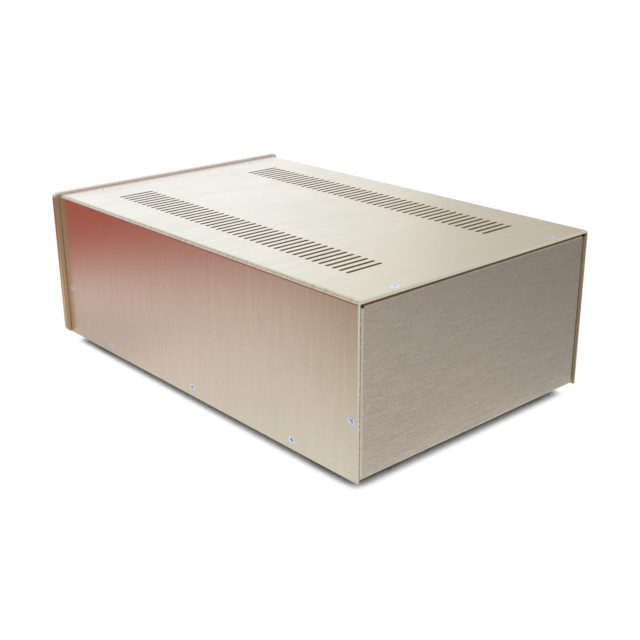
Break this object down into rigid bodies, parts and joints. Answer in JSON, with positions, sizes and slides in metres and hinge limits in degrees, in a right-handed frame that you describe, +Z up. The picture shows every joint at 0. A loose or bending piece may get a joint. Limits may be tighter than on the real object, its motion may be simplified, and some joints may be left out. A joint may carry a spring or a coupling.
{
  "type": "amplifier chassis",
  "caption": "Closed metal amplifier case: folded cover with two rows of vent slots, folded tray, plain front panel, blank rear wall, flush screws and round feet.",
  "frame": {"origin": "middle of the underside of the feet, centred on the whole object's box", "axes": "+Z up, -Y towards the front panel, +Y towards the rear wall, +X to the right seen from the front"},
  "size_m": [0.216, 0.3296, 0.1198],
  "materials": {
    "cover_anodised": "brushed champagne gold anodised sheet, grain across the fold",
    "tray_anodised": "brushed champagne gold anodised sheet, fine grain",
    "faceplate_anodised": "fine-brushed champagne gold anodised plate",
    "zinc_screws": "bright bluish zinc plate",
    "zinc_inner": "bright zinc plate",
    "foot_rubber": "matt black moulded rubber"
  },
  "bodies": {
    "root": {"cover": "cover_anodised", "base_tray": "tray_anodised", "faceplate": "faceplate_anodised", "top_front_screws": "zinc_screws", "top_rear_screws": "zinc_screws", "right_base_screws": "zinc_screws", "right_front_screw": "zinc_screws", "right_rear_screw": "zinc_screws", "left_base_screws": "zinc_screws", "left_front_screw": "zinc_screws", "left_rear_screw": "zinc_screws", "faceplate_screws": "zinc_inner", "front_left_foot": "foot_rubber", "front_right_foot": "foot_rubber", "rear_left_foot": "foot_rubber", "rear_right_foot": "foot_rubber", "foot_washers": "zinc_inner", "foot_screws": "zinc_inner", "foot_nuts": "zinc_inner"}
  },
  "joints": []
}
